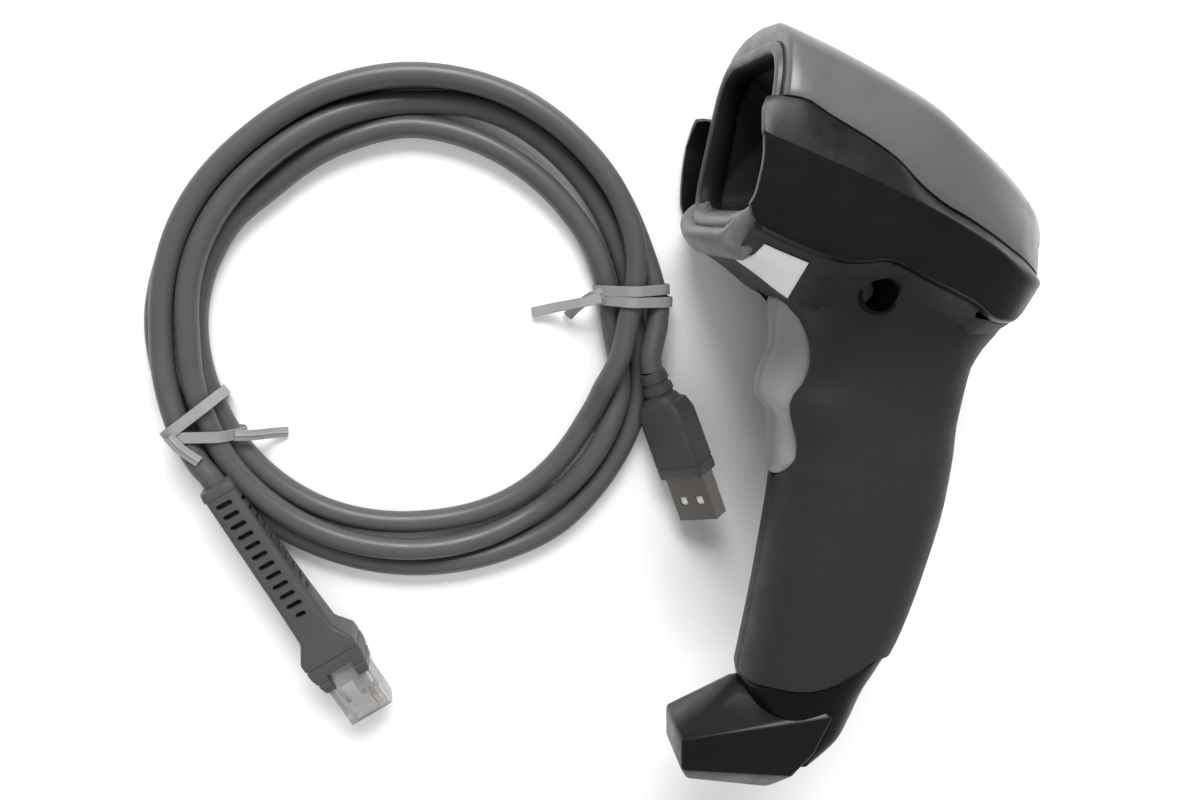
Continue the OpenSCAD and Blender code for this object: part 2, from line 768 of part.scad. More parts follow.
top_cover();
left_side_panel();
right_side_panel();
front_bezel();
window_shroud();
window_gasket();
scan_window();
left_grip_shell();
right_grip_shell();
base_cap();
toe();
blank_label();
housing_screw();
board_screws();
status_light_lens();
imager_housing();
lens_barrel();
lens();
image_sensor();
aimer();
illumination_leds();
engine_bracket();
engine_flex_cable();
main_board();
board_chips();
beeper();
board_header();
handle_board();
trigger_switch();
switch_plunger();
trigger();
trigger_pivot_pin();
trigger_spring();
cable_socket();
socket_contacts();
cable_coil();
scanner_lead();
usb_lead();
bend_relief_boot();
modular_plug();
plug_contacts();
plug_latch();
usb_overmould();
usb_shell();
usb_tongue();
usb_contacts();
coil_tie_right();
coil_tie_left();
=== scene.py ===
import math
import bmesh
import bpy
from mathutils import Matrix, Vector


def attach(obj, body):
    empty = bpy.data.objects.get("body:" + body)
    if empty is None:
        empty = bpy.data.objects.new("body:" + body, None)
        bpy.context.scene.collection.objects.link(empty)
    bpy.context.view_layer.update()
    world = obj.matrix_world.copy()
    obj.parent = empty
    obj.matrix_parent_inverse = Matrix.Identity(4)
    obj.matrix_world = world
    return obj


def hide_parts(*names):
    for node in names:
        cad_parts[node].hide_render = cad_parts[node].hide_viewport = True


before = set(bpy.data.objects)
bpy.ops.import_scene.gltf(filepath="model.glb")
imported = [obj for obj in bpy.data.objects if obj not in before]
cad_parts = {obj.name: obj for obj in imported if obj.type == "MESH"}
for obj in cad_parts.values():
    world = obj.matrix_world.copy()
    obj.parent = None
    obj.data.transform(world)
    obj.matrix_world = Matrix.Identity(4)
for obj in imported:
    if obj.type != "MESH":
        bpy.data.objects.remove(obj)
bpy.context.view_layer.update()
MM = 0.001
MID = 34.0          # height of the scanner's middle plane above the table
REAR = 39.0         # rear end of the head
X, Y, Z = Vector((1, 0, 0)), Vector((0, 1, 0)), Vector((0, 0, 1))


# ---------------------------------------------------------------- helpers
def lin(c):
    return tuple((v / 12.92 if v <= 0.04045 else ((v + 0.055) / 1.055) ** 2.4) for v in c)


def grey(v, tint=(0, 0, 0)):
    base = v / 255.0
    return lin((base + tint[0], base + tint[1], base + tint[2])) + (1.0,)


def smooth(table):
    """Monotone cubic through a short table of [x, value]."""
    xs = [p[0] for p in table]
    ys = [p[1] for p in table]
    n = len(xs)
    h = [xs[i + 1] - xs[i] for i in range(n - 1)]
    d = [(ys[i + 1] - ys[i]) / h[i] for i in range(n - 1)]
    m = [d[0]] + [0.0] * (n - 2) + [d[-1]]
    for i in range(1, n - 1):
        if d[i - 1] * d[i] > 0:
            w1 = 2 * h[i] + h[i - 1]
            w2 = h[i] + 2 * h[i - 1]
            m[i] = (w1 + w2) / (w1 / d[i - 1] + w2 / d[i])

    def f(x):
        if x <= xs[0]:
            return ys[0]
        if x >= xs[-1]:
            return ys[-1]
        i = max(k for k in range(n - 1) if xs[k] <= x)
        t = (x - xs[i]) / h[i]
        return ((1 + 2 * t) * (1 - t) ** 2 * ys[i] + t * (1 - t) ** 2 * h[i] * m[i]
                + t * t * (3 - 2 * t) * ys[i + 1] + t * t * (t - 1) * h[i] * m[i + 1])
    return f


def rounded(points, radii, arc=5):
    """Polyline with filleted corners; the number of points depends on arc alone."""
    out = [Vector(points[0])]
    for i in range(1, len(points) - 1):
        a, b, c = (Vector(points[k]) for k in (i - 1, i, i + 1))
        u, v = (a - b), (c - b)
        lu, lv = max(u.length, 1e-6), max(v.length, 1e-6)
        u, v = u / lu, v / lv
        ang = math.acos(max(-1, min(1, u.dot(v))))
        cut = radii[i - 1] / max(math.tan(ang / 2), 1e-3) if ang < math.pi - 1e-3 else 0.3
        cut = min(cut, 0.46 * lu, 0.46 * lv)
        p, q = b + u * cut, b + v * cut
        for k in range(arc + 1):
            t = k / arc
            out.append((1 - t) ** 2 * p + 2 * t * (1 - t) * b + t * t * q)
    out.append(Vector(points[-1]))
    return out


def split(points, parts):
    """Divides each segment of a polyline, parts[i] pieces for segment i."""
    out = [points[0]]
    for i in range(len(points) - 1):
        n = parts[i] if isinstance(parts, (list, tuple)) else parts
        for k in range(1, n + 1):
            out.append(points[i].lerp(points[i + 1], k / n))
    return out


def build(name, verts, faces, mats, body, replaces=(), angle=32, face_mats=None):
    """Mesh piece from millimetre points in the row frame."""
    mesh = bpy.data.meshes.new(name)
    mesh.from_pydata([(v[0] * MM, v[1] * MM, v[2] * MM) for v in verts], [], faces)
    mesh.validate()
    mesh.update()
    for mat in (mats if isinstance(mats, (list, tuple)) else [mats]):
        mesh.materials.append(mat)
    if face_mats:
        for poly, index in zip(mesh.polygons, face_mats):
            poly.material_index = index
    mesh.shade_smooth()
    mesh.set_sharp_from_angle(angle=math.radians(angle))
    obj = bpy.data.objects.new(name, mesh)
    bpy.context.scene.collection.objects.link(obj)
    if body == "stage":
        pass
    elif body:
        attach(obj, body)
    if replaces:
        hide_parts(*replaces)
    return obj


def grid(rows, close_u=False, cap=False, flip=False):
    """Vertices and quads of a grid of points; close_u joins the ends of each row."""
    n = len(rows[0])
    verts = [p for row in rows for p in row]
    faces = []
    for i in range(len(rows) - 1):
        for j in range(n if close_u else n - 1):
            k = (j + 1) % n
            quad = (i * n + j, i * n + k, (i + 1) * n + k, (i + 1) * n + j)
            faces.append(quad[::-1] if flip else quad)
    if cap:
        first = list(range(n))
        last = [(len(rows) - 1) * n + j for j in range(n)]
        faces.append(first if flip else first[::-1])
        faces.append(last[::-1] if flip else last)
    return verts, faces


def thicken(obj, t, edge=0.25, segments=2, offset=-1.0):
    mod = obj.modifiers.new("wall", "SOLIDIFY")
    mod.thickness = t * MM
    mod.offset = offset
    mod.use_even_offset = False
    if edge:
        soften(obj, edge, segments)
    return obj


def soften(obj, width, segments=2, angle=40):
    mod = obj.modifiers.new("edges", "BEVEL")
    mod.width = width * MM
    mod.segments = segments
    mod.limit_method = "ANGLE"
    mod.angle_limit = math.radians(angle)
    mod.harden_normals = False
    return obj


def bake(obj, angle=32):
    """Turns the modifiers into the mesh itself."""
    graph = bpy.context.evaluated_depsgraph_get()
    mesh = bpy.data.meshes.new_from_object(obj.evaluated_get(graph))
    old = obj.data
    obj.modifiers.clear()
    obj.data = mesh
    bpy.data.meshes.remove(old)
    mesh.shade_smooth()
    mesh.set_sharp_from_angle(angle=math.radians(angle))
    return obj


def cut(obj, cutters, angle=32):
    """Removes simple closed shapes, given as (verts, faces) in millimetres, from a piece."""
    verts, faces = [], []
    for v, f in cutters:
        k = len(verts)
        verts += list(v)
        faces += [tuple(i + k for i in face) for face in f]
    tool = build(obj.name + "_cut", verts, faces, obj.data.materials[0], None)
    mod = obj.modifiers.new("cut", "BOOLEAN")
    mod.operation = "DIFFERENCE"
    mod.solver = "EXACT"
    mod.use_self = True
    mod.object = tool
    bake(obj, angle)
    data = tool.data
    bpy.data.objects.remove(tool)
    bpy.data.meshes.remove(data)
    return obj


def prism(outline, base, axis_u, axis_v, axis_w, depth):
    """Closed prism: an outline in (u, v), pushed along w from base by depth."""
    n = len(outline)
    bottom = [base + axis_u * p[0] + axis_v * p[1] for p in outline]
    top = [p + axis_w * depth for p in bottom]
    faces = [tuple(range(n))[::-1], tuple(range(n, 2 * n))]
    faces += [(i, (i + 1) % n, n + (i + 1) % n, n + i) for i in range(n)]
    return bottom + top, faces


def pill(length, width, n=4):
    """Rounded slot outline centred on the origin."""
    r = min(length, width) / 2
    out = []
    u, v = length / 2 - r, width / 2 - r
    for cx, cy, start in ((u, v, 0), (-u, v, 90), (-u, -v, 180), (u, -v, 270)):
        for k in range(n + 1):
            a = math.radians(start + 90 * k / n)
            out.append((cx + r * math.cos(a), cy + r * math.sin(a)))
    return out


def spline_points(keys, step):
    """Catmull-Rom curve through 3-D points, sampled about every step."""
    out = []
    n = len(keys)
    for i in range(n - 1):
        p0, p1, p2, p3 = (Vector(keys[max(0, min(n - 1, k))]) for k in (i - 1, i, i + 1, i + 2))
        count = max(1, int((p2 - p1).length / step))
        for k in range(count):
            t = k / count
            out.append(0.5 * ((2 * p1) + (p2 - p0) * t + (2 * p0 - 5 * p1 + 4 * p2 - p3) * t * t
                              + (3 * p1 - p0 - 3 * p2 + p3) * t * t * t))
    out.append(Vector(keys[-1]))
    return out


# ---------------------------------------------------------------- materials
def nodes_of(name):
    mat = bpy.data.materials.new(name)
    mat.use_nodes = True
    tree = mat.node_tree
    return mat, tree, tree.nodes["Principled BSDF"]


def noise(tree, coord, scale, detail=3.0, rough=0.55):
    node = tree.nodes.new("ShaderNodeTexNoise")
    node.inputs["Scale"].default_value = scale
    node.inputs["Detail"].default_value = detail
    node.inputs["Roughness"].default_value = rough
    tree.links.new(coord, node.inputs["Vector"])
    return node


def colour_from(tree, bsdf, fac, base, low, high, span=(0.0, 1.0)):
    """Base colour that drifts between two gains of one colour."""
    ramp = tree.nodes.new("ShaderNodeValToRGB")
    for element, place, gain in zip(ramp.color_ramp.elements, span, (low, high)):
        element.position = place
        element.color = tuple(min(1, v * gain) for v in base[:3]) + (1,)
    tree.links.new(fac, ramp.inputs["Fac"])
    tree.links.new(ramp.outputs["Color"], bsdf.inputs["Base Color"])


def gloss_from(tree, bsdf, fac, low, high, span=(0.0, 1.0)):
    """Roughness that drifts between two values."""
    spread = tree.nodes.new("ShaderNodeMapRange")
    for socket, value in zip(("From Min", "From Max", "To Min", "To Max"), (*span, low, high)):
        spread.inputs[socket].default_value = value
    tree.links.new(fac, spread.inputs["Value"])
    tree.links.new(spread.outputs["Result"], bsdf.inputs["Roughness"])


def relief_from(tree, bsdf, height, strength, distance):
    relief = tree.nodes.new("ShaderNodeBump")
    relief.inputs["Strength"].default_value = strength
    relief.inputs["Distance"].default_value = distance
    tree.links.new(height, relief.inputs["Height"])
    tree.links.new(relief.outputs["Normal"], bsdf.inputs["Normal"])


def plastic(name, tone, rough=0.45, tint=(0, 0, 0), vary=0.06, grain=900, bump=0.06, coat=0.0,
            spec=0.32, smudge=0.08):
    """Moulded plastic: fine spark-eroded grain, slow colour drift and uneven gloss."""
    mat, tree, bsdf = nodes_of(name)
    coord = tree.nodes.new("ShaderNodeTexCoord").outputs["Object"]
    slow = noise(tree, coord, 45, 4.0).outputs["Fac"]
    colour_from(tree, bsdf, slow, grey(tone, tint), 1 - vary, 1 + vary, (0.3, 0.72))
    marks = noise(tree, coord, 160, 5.0, 0.62).outputs["Fac"]
    gloss_from(tree, bsdf, marks, max(0.03, rough - smudge), min(1, rough + smudge), (0.3, 0.7))
    fine = noise(tree, coord, grain, 2.0).outputs["Fac"]
    relief_from(tree, bsdf, fine, bump, 0.0004)
    bsdf.inputs["Coat Weight"].default_value = coat
    bsdf.inputs["Coat Roughness"].default_value = 0.25
    bsdf.inputs["Specular IOR Level"].default_value = spec
    return mat


def metal(name, tone, rough=0.3, tint=(0, 0, 0)):
    """Rolled or plated metal with fine brushing."""
    mat, tree, bsdf = nodes_of(name)
    coord = tree.nodes.new("ShaderNodeTexCoord").outputs["Object"]
    stretch = tree.nodes.new("ShaderNodeMapping")
    stretch.inputs["Scale"].default_value = (1.0, 6.0, 1.0)
    tree.links.new(coord, stretch.inputs["Vector"])
    lines = noise(tree, stretch.outputs["Vector"], 400, 4.0, 0.7).outputs["Fac"]
    colour_from(tree, bsdf, lines, grey(tone, tint), 0.93, 1.03)
    gloss_from(tree, bsdf, lines, rough - 0.08, rough + 0.1)
    relief_from(tree, bsdf, lines, 0.03, 0.0001)
    bsdf.inputs["Metallic"].default_value = 1.0
    return mat


def clear(name, tone=235, rough=0.12, weight=0.8, tint=(0, 0, 0)):
    """Clear moulded polycarbonate or glass with faint flow marks."""
    mat, tree, bsdf = nodes_of(name)
    coord = tree.nodes.new("ShaderNodeTexCoord").outputs["Object"]
    flow = noise(tree, coord, 220, 3.0).outputs["Fac"]
    gloss_from(tree, bsdf, flow, max(0.01, rough - 0.05), rough + 0.1)
    colour_from(tree, bsdf, flow, grey(tone, tint), 0.94, 1.0)
    bsdf.inputs["Transmission Weight"].default_value = weight
    bsdf.inputs["IOR"].default_value = 1.49
    return mat


M_COVER = plastic("cover_grey", 78, 0.38, (-0.004, 0.0, 0.006), coat=0.25, bump=0.05)
M_PANEL = plastic("panel_black", 7, 0.36, (0.0, 0.0, 0.004), coat=0.1, bump=0.05, spec=0.24)
M_BEZEL = plastic("bezel_grey", 98, 0.4, (0, 0, 0.004), coat=0.1)
M_RIM = plastic("rim_grey", 66, 0.4, coat=0.1)
M_RECESS = plastic("recess_black", 22, 0.6, bump=0.1, spec=0.24)
M_RUBBER = plastic("rubber_black", 18, 0.75, bump=0.15)
M_GRIP = plastic("grip_grey", 34, 0.55, (0.0, 0.0, 0.003), bump=0.14, grain=1300)
M_BASE = plastic("base_black", 6, 0.42, bump=0.08, spec=0.2)
M_TOE = plastic("toe_black", 10, 0.38, bump=0.08, coat=0.1, spec=0.22)
M_TRIGGER = plastic("trigger_grey", 134, 0.38, (-0.004, 0, 0.006), coat=0.25, bump=0.05)
M_CABLE = plastic("cable_grey", 74, 0.42, (-0.002, 0, 0.004), grain=700, bump=0.07, coat=0.1)
M_BOOT = plastic("boot_grey", 70, 0.45, (-0.002, 0, 0.004), bump=0.1)
M_USB = plastic("usb_grey", 62, 0.4, (-0.002, 0, 0.004), bump=0.08, coat=0.1)
M_TIE = plastic("tie_grey", 134, 0.5, bump=0.12)
M_LABEL = plastic("label_white", 218, 0.4, grain=1600, bump=0.05, vary=0.02)
M_WINDOW = clear("scan_window_red", 60, 0.08, 0.6, (0.12, -0.05, -0.05))
M_GLASS = clear("lens_glass", 225, 0.04, 1.0, (-0.02, 0, 0.03))
M_CLEAR = clear("clear_plastic", 214, 0.12, 0.8)
M_LIGHT = clear("light_lens", 215, 0.4, 0.35)
M_STEEL = metal("screw_steel", 170, 0.3)
M_PLUGSTEEL = metal("plug_steel", 104, 0.24, (0.016, 0.0, -0.012))
M_BRACKET = metal("bracket_metal", 150, 0.4)
M_GOLD = metal("contact_gold", 205, 0.28, (0.05, -0.06, -0.3))
M_ENGINE = plastic("engine_black", 46, 0.5)
M_SENSOR = plastic("sensor", 58, 0.25, (-0.02, 0.0, 0.05), coat=0.4)
M_AIMER = plastic("aimer_grey", 118, 0.45)
M_LED = plastic("led_cream", 228, 0.3, (0.02, 0.0, -0.08), coat=0.3)
M_FLEX = plastic("flex_amber", 150, 0.35, (0.12, -0.02, -0.28), coat=0.3)
M_BOARD = plastic("board_green", 82, 0.35, (-0.14, 0.06, -0.08), coat=0.4)
M_CREAM = plastic("connector_cream", 216, 0.45, (0.0, 0.0, -0.07))
M_AMBER = plastic("plunger_amber", 178, 0.4, (0.12, -0.05, -0.35))
M_SOCKET = plastic("socket_black", 44, 0.5)
M_TONGUE = plastic("tongue_white", 232, 0.4)
M_FLOOR = plastic("floor", 243, 0.8, vary=0.004, bump=0.01)

# ---------------------------------------------------------------- camera
target = Vector((-55, -0.25, 34)) * MM
eye = Vector((-96.25, 37.44, 274)) * MM
back = (eye - target).normalized()
side = Vector((-0.1736, 0.9848, 0)).cross(back).normalized()
cam_data = bpy.data.cameras.new("camera")
cam_data.lens = 32.4
cam_data.sensor_width = 36
cam_data.clip_start = 0.005
cam = bpy.data.objects.new("camera", cam_data)
bpy.context.scene.collection.objects.link(cam)
cam.matrix_world = Matrix((side, back.cross(side), back)).transposed().to_4x4()
cam.location = eye
bpy.context.scene.camera = cam
bpy.context.scene.view_settings.view_transform = "Standard"

# ---------------------------------------------------------------- cable
CABLE_D = 5.6
POLE = (-101, 6.5)
BOOT_AT = Vector((-140.5, -38.3, 9.7))
SCANNER_ROUTE = [(-149.6, -27.5, 9), (-147.9, -30, 9.2), (-146, -32.5, 9.4), (-144, -34.8, 9.6),
                 (-141.8, -36.7, 9.8), (-140.5, -38.3, 9.7)]
USB_ROUTE = [(-39.8, 22, 5.8), (-39.4, 19, 6.4), (-39.3, 15.5, 7.1), (-39.6, 12, 7.8),
             (-39.8, 8.5, 8.4), (-38.8, 4.9, 8.6)]
# Height and radius of the strand by angle about the pole, wound clockwise from the boot
LAY = [
    (215, 59.3, 9.0), (203, 58.2, 8.0), (190, 57.1, 7.5), (175, 56.8, 7.9), (160, 56.6, 8.3),
    (140, 56.2, 8.1), (115, 57.8, 8.1), (95, 59.5, 8.3), (70, 60.9, 8.3), (45, 61.2, 8.3),
    (30, 60.0, 8.2), (20, 57.6, 8.2), (10, 54.8, 8.2), (0, 53.4, 8.5), (-10, 51.6, 6.6),
    (-20, 51.6, 3.6), (-33, 52.0, 2.8), (-45, 52.2, 2.8), (-80, 50.9, 2.8), (-110, 51.3, 2.8),
    (-132, 51.0, 2.8), (-150, 50.4, 2.8), (-170, 50.0, 2.8), (-200, 47.8, 2.8),
    (-220, 45.2, 2.8), (-245, 46.2, 2.8), (-265, 47.9, 2.8), (-290, 48.2, 2.8),
    (-315, 49.3, 2.8), (-327, 50.4, 2.8), (-350, 51.6, 2.8), (-360, 54.0, 2.8),
    (-370, 56.8, 4.0), (-380, 57.5, 5.4), (-393, 58.2, 4.4), (-405, 58.5, 2.8),
    (-420, 58.1, 4.4), (-440, 57.1, 6.2), (-470, 56.0, 6.4), (-492, 54.6, 7.0),
    (-505, 53.0, 7.7), (-517, 51.9, 8.1), (-530, 50.9, 8.4), (-545, 51.1, 8.3),
    (-560, 50.9, 8.0), (-580, 50.4, 7.3), (-605, 51.9, 5.4), (-625, 53.5, 2.9),
    (-639, 55.4, 2.8), (-650, 56.2, 2.8), (-675, 56.4, 2.8), (-700, 56.8, 2.8),
    (-710, 57.6, 2.8), (-720, 60.0, 2.8), (-730, 62.2, 2.8), (-740, 63.2, 2.8),
    (-753, 64.2, 2.8), (-765, 64.9, 2.8), (-780, 63.8, 2.8), (-800, 62.4, 2.8),
    (-830, 60.6, 2.8), (-852, 60.0, 2.8), (-870, 59.4, 2.8), (-890, 59.2, 2.8),
    (-905, 58.0, 2.8), (-920, 57.0, 2.8), (-940, 54.4, 2.8), (-965, 57.4, 2.8),
    (-985, 59.6, 2.8), (-999, 61.0, 2.8), (-1010, 61.8, 2.8), (-1035, 61.9, 2.8),
    (-1050, 61.9, 3.0), (-1057, 62.3, 3.9), (-1062, 62.8, 4.8)]
turns = smooth([(-k[0], k[1]) for k in LAY])
rise = smooth([(-k[0], k[2]) for k in LAY])
line = [Vector(p) for p in SCANNER_ROUTE[::-1]]
angle = LAY[0][0] - 4
while angle > LAY[-1][0]:
    a = math.radians(angle)
    line.append(Vector((POLE[0] + turns(-angle) * math.cos(a),
                        POLE[1] + turns(-angle) * math.sin(a), rise(-angle))))
    angle -= 5
line += [Vector(p) for p in USB_ROUTE]
route = spline_points(line, 0.9)
cable_data = bpy.data.curves.new("cable", "CURVE")
cable_data.dimensions = "3D"
cable_data.bevel_depth = CABLE_D / 2 * MM
cable_data.bevel_resolution = 6
cable_data.use_fill_caps = True
strand = cable_data.splines.new("POLY")
strand.points.add(len(route) - 1)
for point, p in zip(strand.points, route):
    point.co = (p.x * MM, p.y * MM, p.z * MM, 1)
cable_data.materials.append(M_CABLE)
cable = bpy.data.objects.new("cable", cable_data)
bpy.context.scene.collection.objects.link(cable)
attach(cable, "cable_set")
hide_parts("cable_coil", "scanner_lead", "usb_lead")

# ---------------------------------------------------------------- head surfaces
crest = smooth([[-34, 87.1], [-24, 85], [-12, 82], [2, 77.7], [12, 73.1], [24, 67.5], [32, 62.3],
                [36, 57.5], [38.2, 53.4], [39, 51]])
seam = smooth([[-39, 68.4], [-36, 69.2], [-31, 69.3], [-25, 67.3], [-10, 61.8], [-2.5, 57],
               [3, 54.4], [8, 52.9], [24, 47.2], [32, 44.6], [39, 43.5]])
crease = smooth([[-39, 61.5], [-24, 58.4], [-12, 55.8], [0, 52.6], [14, 48.3], [27, 43.6],
                 [39, 42]])
lower = smooth([[-39, 45], [-34, 43.3], [-26, 41.4], [-17, 39.9], [-12, 40.6], [-8, 41.7],
                [2, 39.3], [14, 36.4], [22, 33.4], [26, 33.6], [29, 35.2], [32, 38],
                [36, 40], [39, 41]])
keel = smooth([[-39, 39.6], [-34.7, 37.0], [-29, 34.3], [-20, 29.6], [-14, 28], [-8, 27.5],
               [10, 27.5], [24, 29], [32, 33], [36, 37], [39, 40]])
shoulder_hw = smooth([[-39, 23.6], [0, 25], [12, 23.5], [24, 19.4], [32, 13.4], [36, 8.6],
                      [39, 2.8]])
seam_hw = smooth([[-39, 30], [0, 30.2], [12, 29.2], [24, 25.6], [31, 20], [35, 14.4],
                  [38, 7.6], [39, 4.6]])
crease_hw = smooth([[-39, 33.8], [0, 33.8], [12, 32], [24, 28], [30.5, 23.6], [35, 16.6],
                    [38, 9], [39, 5.6]])
lower_hw = smooth([[-39, 33.6], [-4, 33.6], [12, 30.6], [24, 26], [31, 20], [35, 14.2],
                   [38, 7.6], [39, 4.8]])
drop = smooth([[-39, 3.8], [0, 5.6], [24, 7], [39, 3]])
shoulder_r = smooth([[-34, 9.0], [-10, 7.0], [10, 7.0], [30, 6.5], [39, 4]])
crease_r = smooth([[-39, 0.7], [0, 0.9], [20, 1.6], [32, 5], [39, 4]])


def cover_section(x, inset=0.0):
    sh, sm, top = shoulder_hw(x), seam_hw(x), crest(x)
    dr = drop(x)
    half = [(sm - inset, seam(x) + 0.25), (sh - inset * 0.8, top - dr - inset * 0.75),
            (0.55 * sh, top - 0.24 * dr - inset), (0, top - inset)]
    pts = half + [(-p[0], p[1]) for p in half[-2::-1]]
    r = max(0.6, shoulder_r(x) - inset * 0.5)
    pts = rounded(pts, [r, 24, 60, 24, r], 5)
    pts = split(pts, [6] + [1] * (len(pts) - 3) + [6])
    n = len(pts)
    for i in range(1, 6):
        bulge = 0.45 * math.sin(math.pi * i / 6)
        pts[i] = pts[i] + Vector((bulge, 0.25 * bulge))
        pts[n - 1 - i] = pts[n - 1 - i] + Vector((-bulge, 0.25 * bulge))
    return pts


def panel_section(x):
    pts = [(seam_hw(x) + 0.05, seam(x) - 0.25), (crease_hw(x), crease(x)),
           (lower_hw(x), lower(x)), (max(0.4, lower_hw(x) - 3.2), lower(x) - 0.9)]
    pts = rounded(pts, [crease_r(x), 1.3], 5)
    return split(pts, [5] + [1] * 5 + [9] + [1] * 5 + [2])


def stations(start, end, step):
    """Even stations that close up towards the round rear of the head."""
    out = []
    x = start
    while x < 24:
        out.append(x)
        x += step
    n = 16
    for k in range(n + 1):
        out.append(24 + (end - 24) * math.sin(math.pi / 2 * k / n))
    return out


def head_point(x, p):
    return (x, p[1], MID + p[0])


# Top cover: the front edge turns in to a flat rim around the window recess
rows = []
for x, inset in ((-31.6, 5.5), (-33.5, 5.4), (-33.9, 5.2), (-34.15, 4.8), (-34.25, 2.4),
                 (-34.2, 0.9), (-34.0, 0.45), (-33.6, 0.14), (-33.0, 0.0)):
    rows.append([head_point(x, p) for p in cover_section(max(x, -33.9), inset)])
for x in stations(-31.5, REAR, 2.2):
    rows.append([head_point(x, p) for p in cover_section(x)])
rear_seam = seam(REAR) + 0.25
rows.append([(REAR, rear_seam + (p[1] - rear_seam) * 0.06, MID + p[0] * 0.06)
             for p in cover_section(REAR)])
verts, faces = grid(rows, flip=True)
cover = build("hood_cover", verts, faces, M_COVER, "scanner", ["top_cover"], 38)
thicken(cover, 0.9, 0.15)

# Side panels: the front edge is a shallow S with a pointed notch at its foot
front_edge = smooth([[40, -33.4], [43.4, -33.9], [44.4, -35.2], [45.6, -37.7], [46.8, -38.35],
                     [49.9, -37.5], [56, -37.3], [62, -38.3], [67.4, -38.7], [69, -38.1]])
front_edge_right = smooth([[40, -32.4], [43.4, -33.6], [46, -37.2], [50, -38.2], [58, -38.9],
                           [66, -38.9], [69, -38.4]])
for sign, side_name in ((1, "left"), (-1, "right")):
    count = len(panel_section(0))
    edge_line = front_edge if sign > 0 else front_edge_right
    starts = [edge_line(panel_section(-37.5)[j][1]) for j in range(count)]
    steps = [i / 40 for i in range(33)] + [0.8 + 0.2 * math.sin(math.pi / 2 * k / 22)
                                          for k in range(1, 23)]
    rows = []
    for t in steps:
        row = []
        for j in range(count):
            x = starts[j] + (REAR - starts[j]) * t
            p = panel_section(x)[j]
            row.append((x, p[1], MID + sign * p[0]))
        rows.append(row)
    rows.append([(REAR, p[1], MID + sign * 0.35) for p in rows[-1]])
    verts, faces = grid(rows, flip=sign < 0)
    panel = build("side_panel_" + side_name, verts, faces, M_PANEL, "scanner",
                  [side_name + "_side_panel"], 30)
    thicken(panel, 1.7, 0.45, 3)


# Underside of the head, from the lip back to the rear
def belly_section(x):
    lw = lower_hw(x)
    k = min(keel(x), lower(x) - 1.6)
    half = [(lw - 1.6, lower(x) + 1.4), (lw - 2.2, lower(x) - 0.8),
            (0.73 * lw, max(k + 1.0, lower(x) - 4.8)), (0.45 * lw, k), (0, k)]
    pts = half + [(-p[0], p[1]) for p in half[-2::-1]]
    return rounded(pts, [1.2, 4, 3, 30, 3, 4, 1.2], 4)


rows = [[head_point(x, p) for p in belly_section(x)] for x in stations(-36.2, 37.6, 2.0)]
rows.append([(37.8, 40.5 + (p[1] - 40.5) * 0.15, MID + (p[2] - MID) * 0.15) for p in rows[-1]])
verts, faces = grid(rows)
belly = build("head_underside", verts, faces, M_GRIP, "scanner", (), 40)
thicken(belly, 1.8, 0.2)


# ---------------------------------------------------------------- grip
grip_front = smooth([[-66, -10], [-44, -9.9], [-28, -10.2], [-12, -11], [-8, -12], [-4.5, -12.2],
                     [-1.1, -13], [4.3, -15.6], [7.7, -16.2], [11.5, -14], [16.3, -12.9],
                     [20.7, -13.9], [26.8, -18], [30, -22], [36, -27], [44, -30]])
grip_rear = smooth([[-66, 19.4], [-54, 23.8], [-44, 26.8], [-28, 29.2], [-12, 30.4], [0, 29.9],
                    [8, 29], [20, 28.6], [26, 30.2], [30, 32.4], [36, 34.5], [44, 35]])
grip_hw = smooth([[-66, 14.6], [-44, 15.4], [-12, 16], [8, 16.6], [20, 18], [30, 21.5], [36, 24.5],
                  [44, 27]])
base_edge = smooth([[-24, -62], [-12, -61.3], [-9, -60.6], [-5, -59.6], [2, -58.9], [8, -57.2],
                    [13, -53.4], [17, -49.8], [20, -49.3], [34, -50.4]])
POWER = 0.78


def oval_point(y, a, x0, x1, hw, sign=1):
    c, s = math.cos(a), math.sin(a)
    return ((x0 + x1) / 2 - (x1 - x0) / 2 * math.copysign(abs(c) ** POWER, c), y,
            MID + sign * hw * abs(s) ** POWER)


SLOT_LOW, SLOT_TOP, SLOT_HW = -11.2, 31.2, 9.5


def well_half_width(y):
    """Half width of the trigger's slot at a height on the grip; its lower end is round."""
    if y <= SLOT_LOW or y >= SLOT_TOP:
        return 0.0
    if y < 0:
        return SLOT_HW * math.sqrt(1 - (1 - min(1.0, (y - SLOT_LOW) / 7)) ** 2)
    return SLOT_HW * min(1.0, (SLOT_TOP - y) / 3.6) ** 0.42


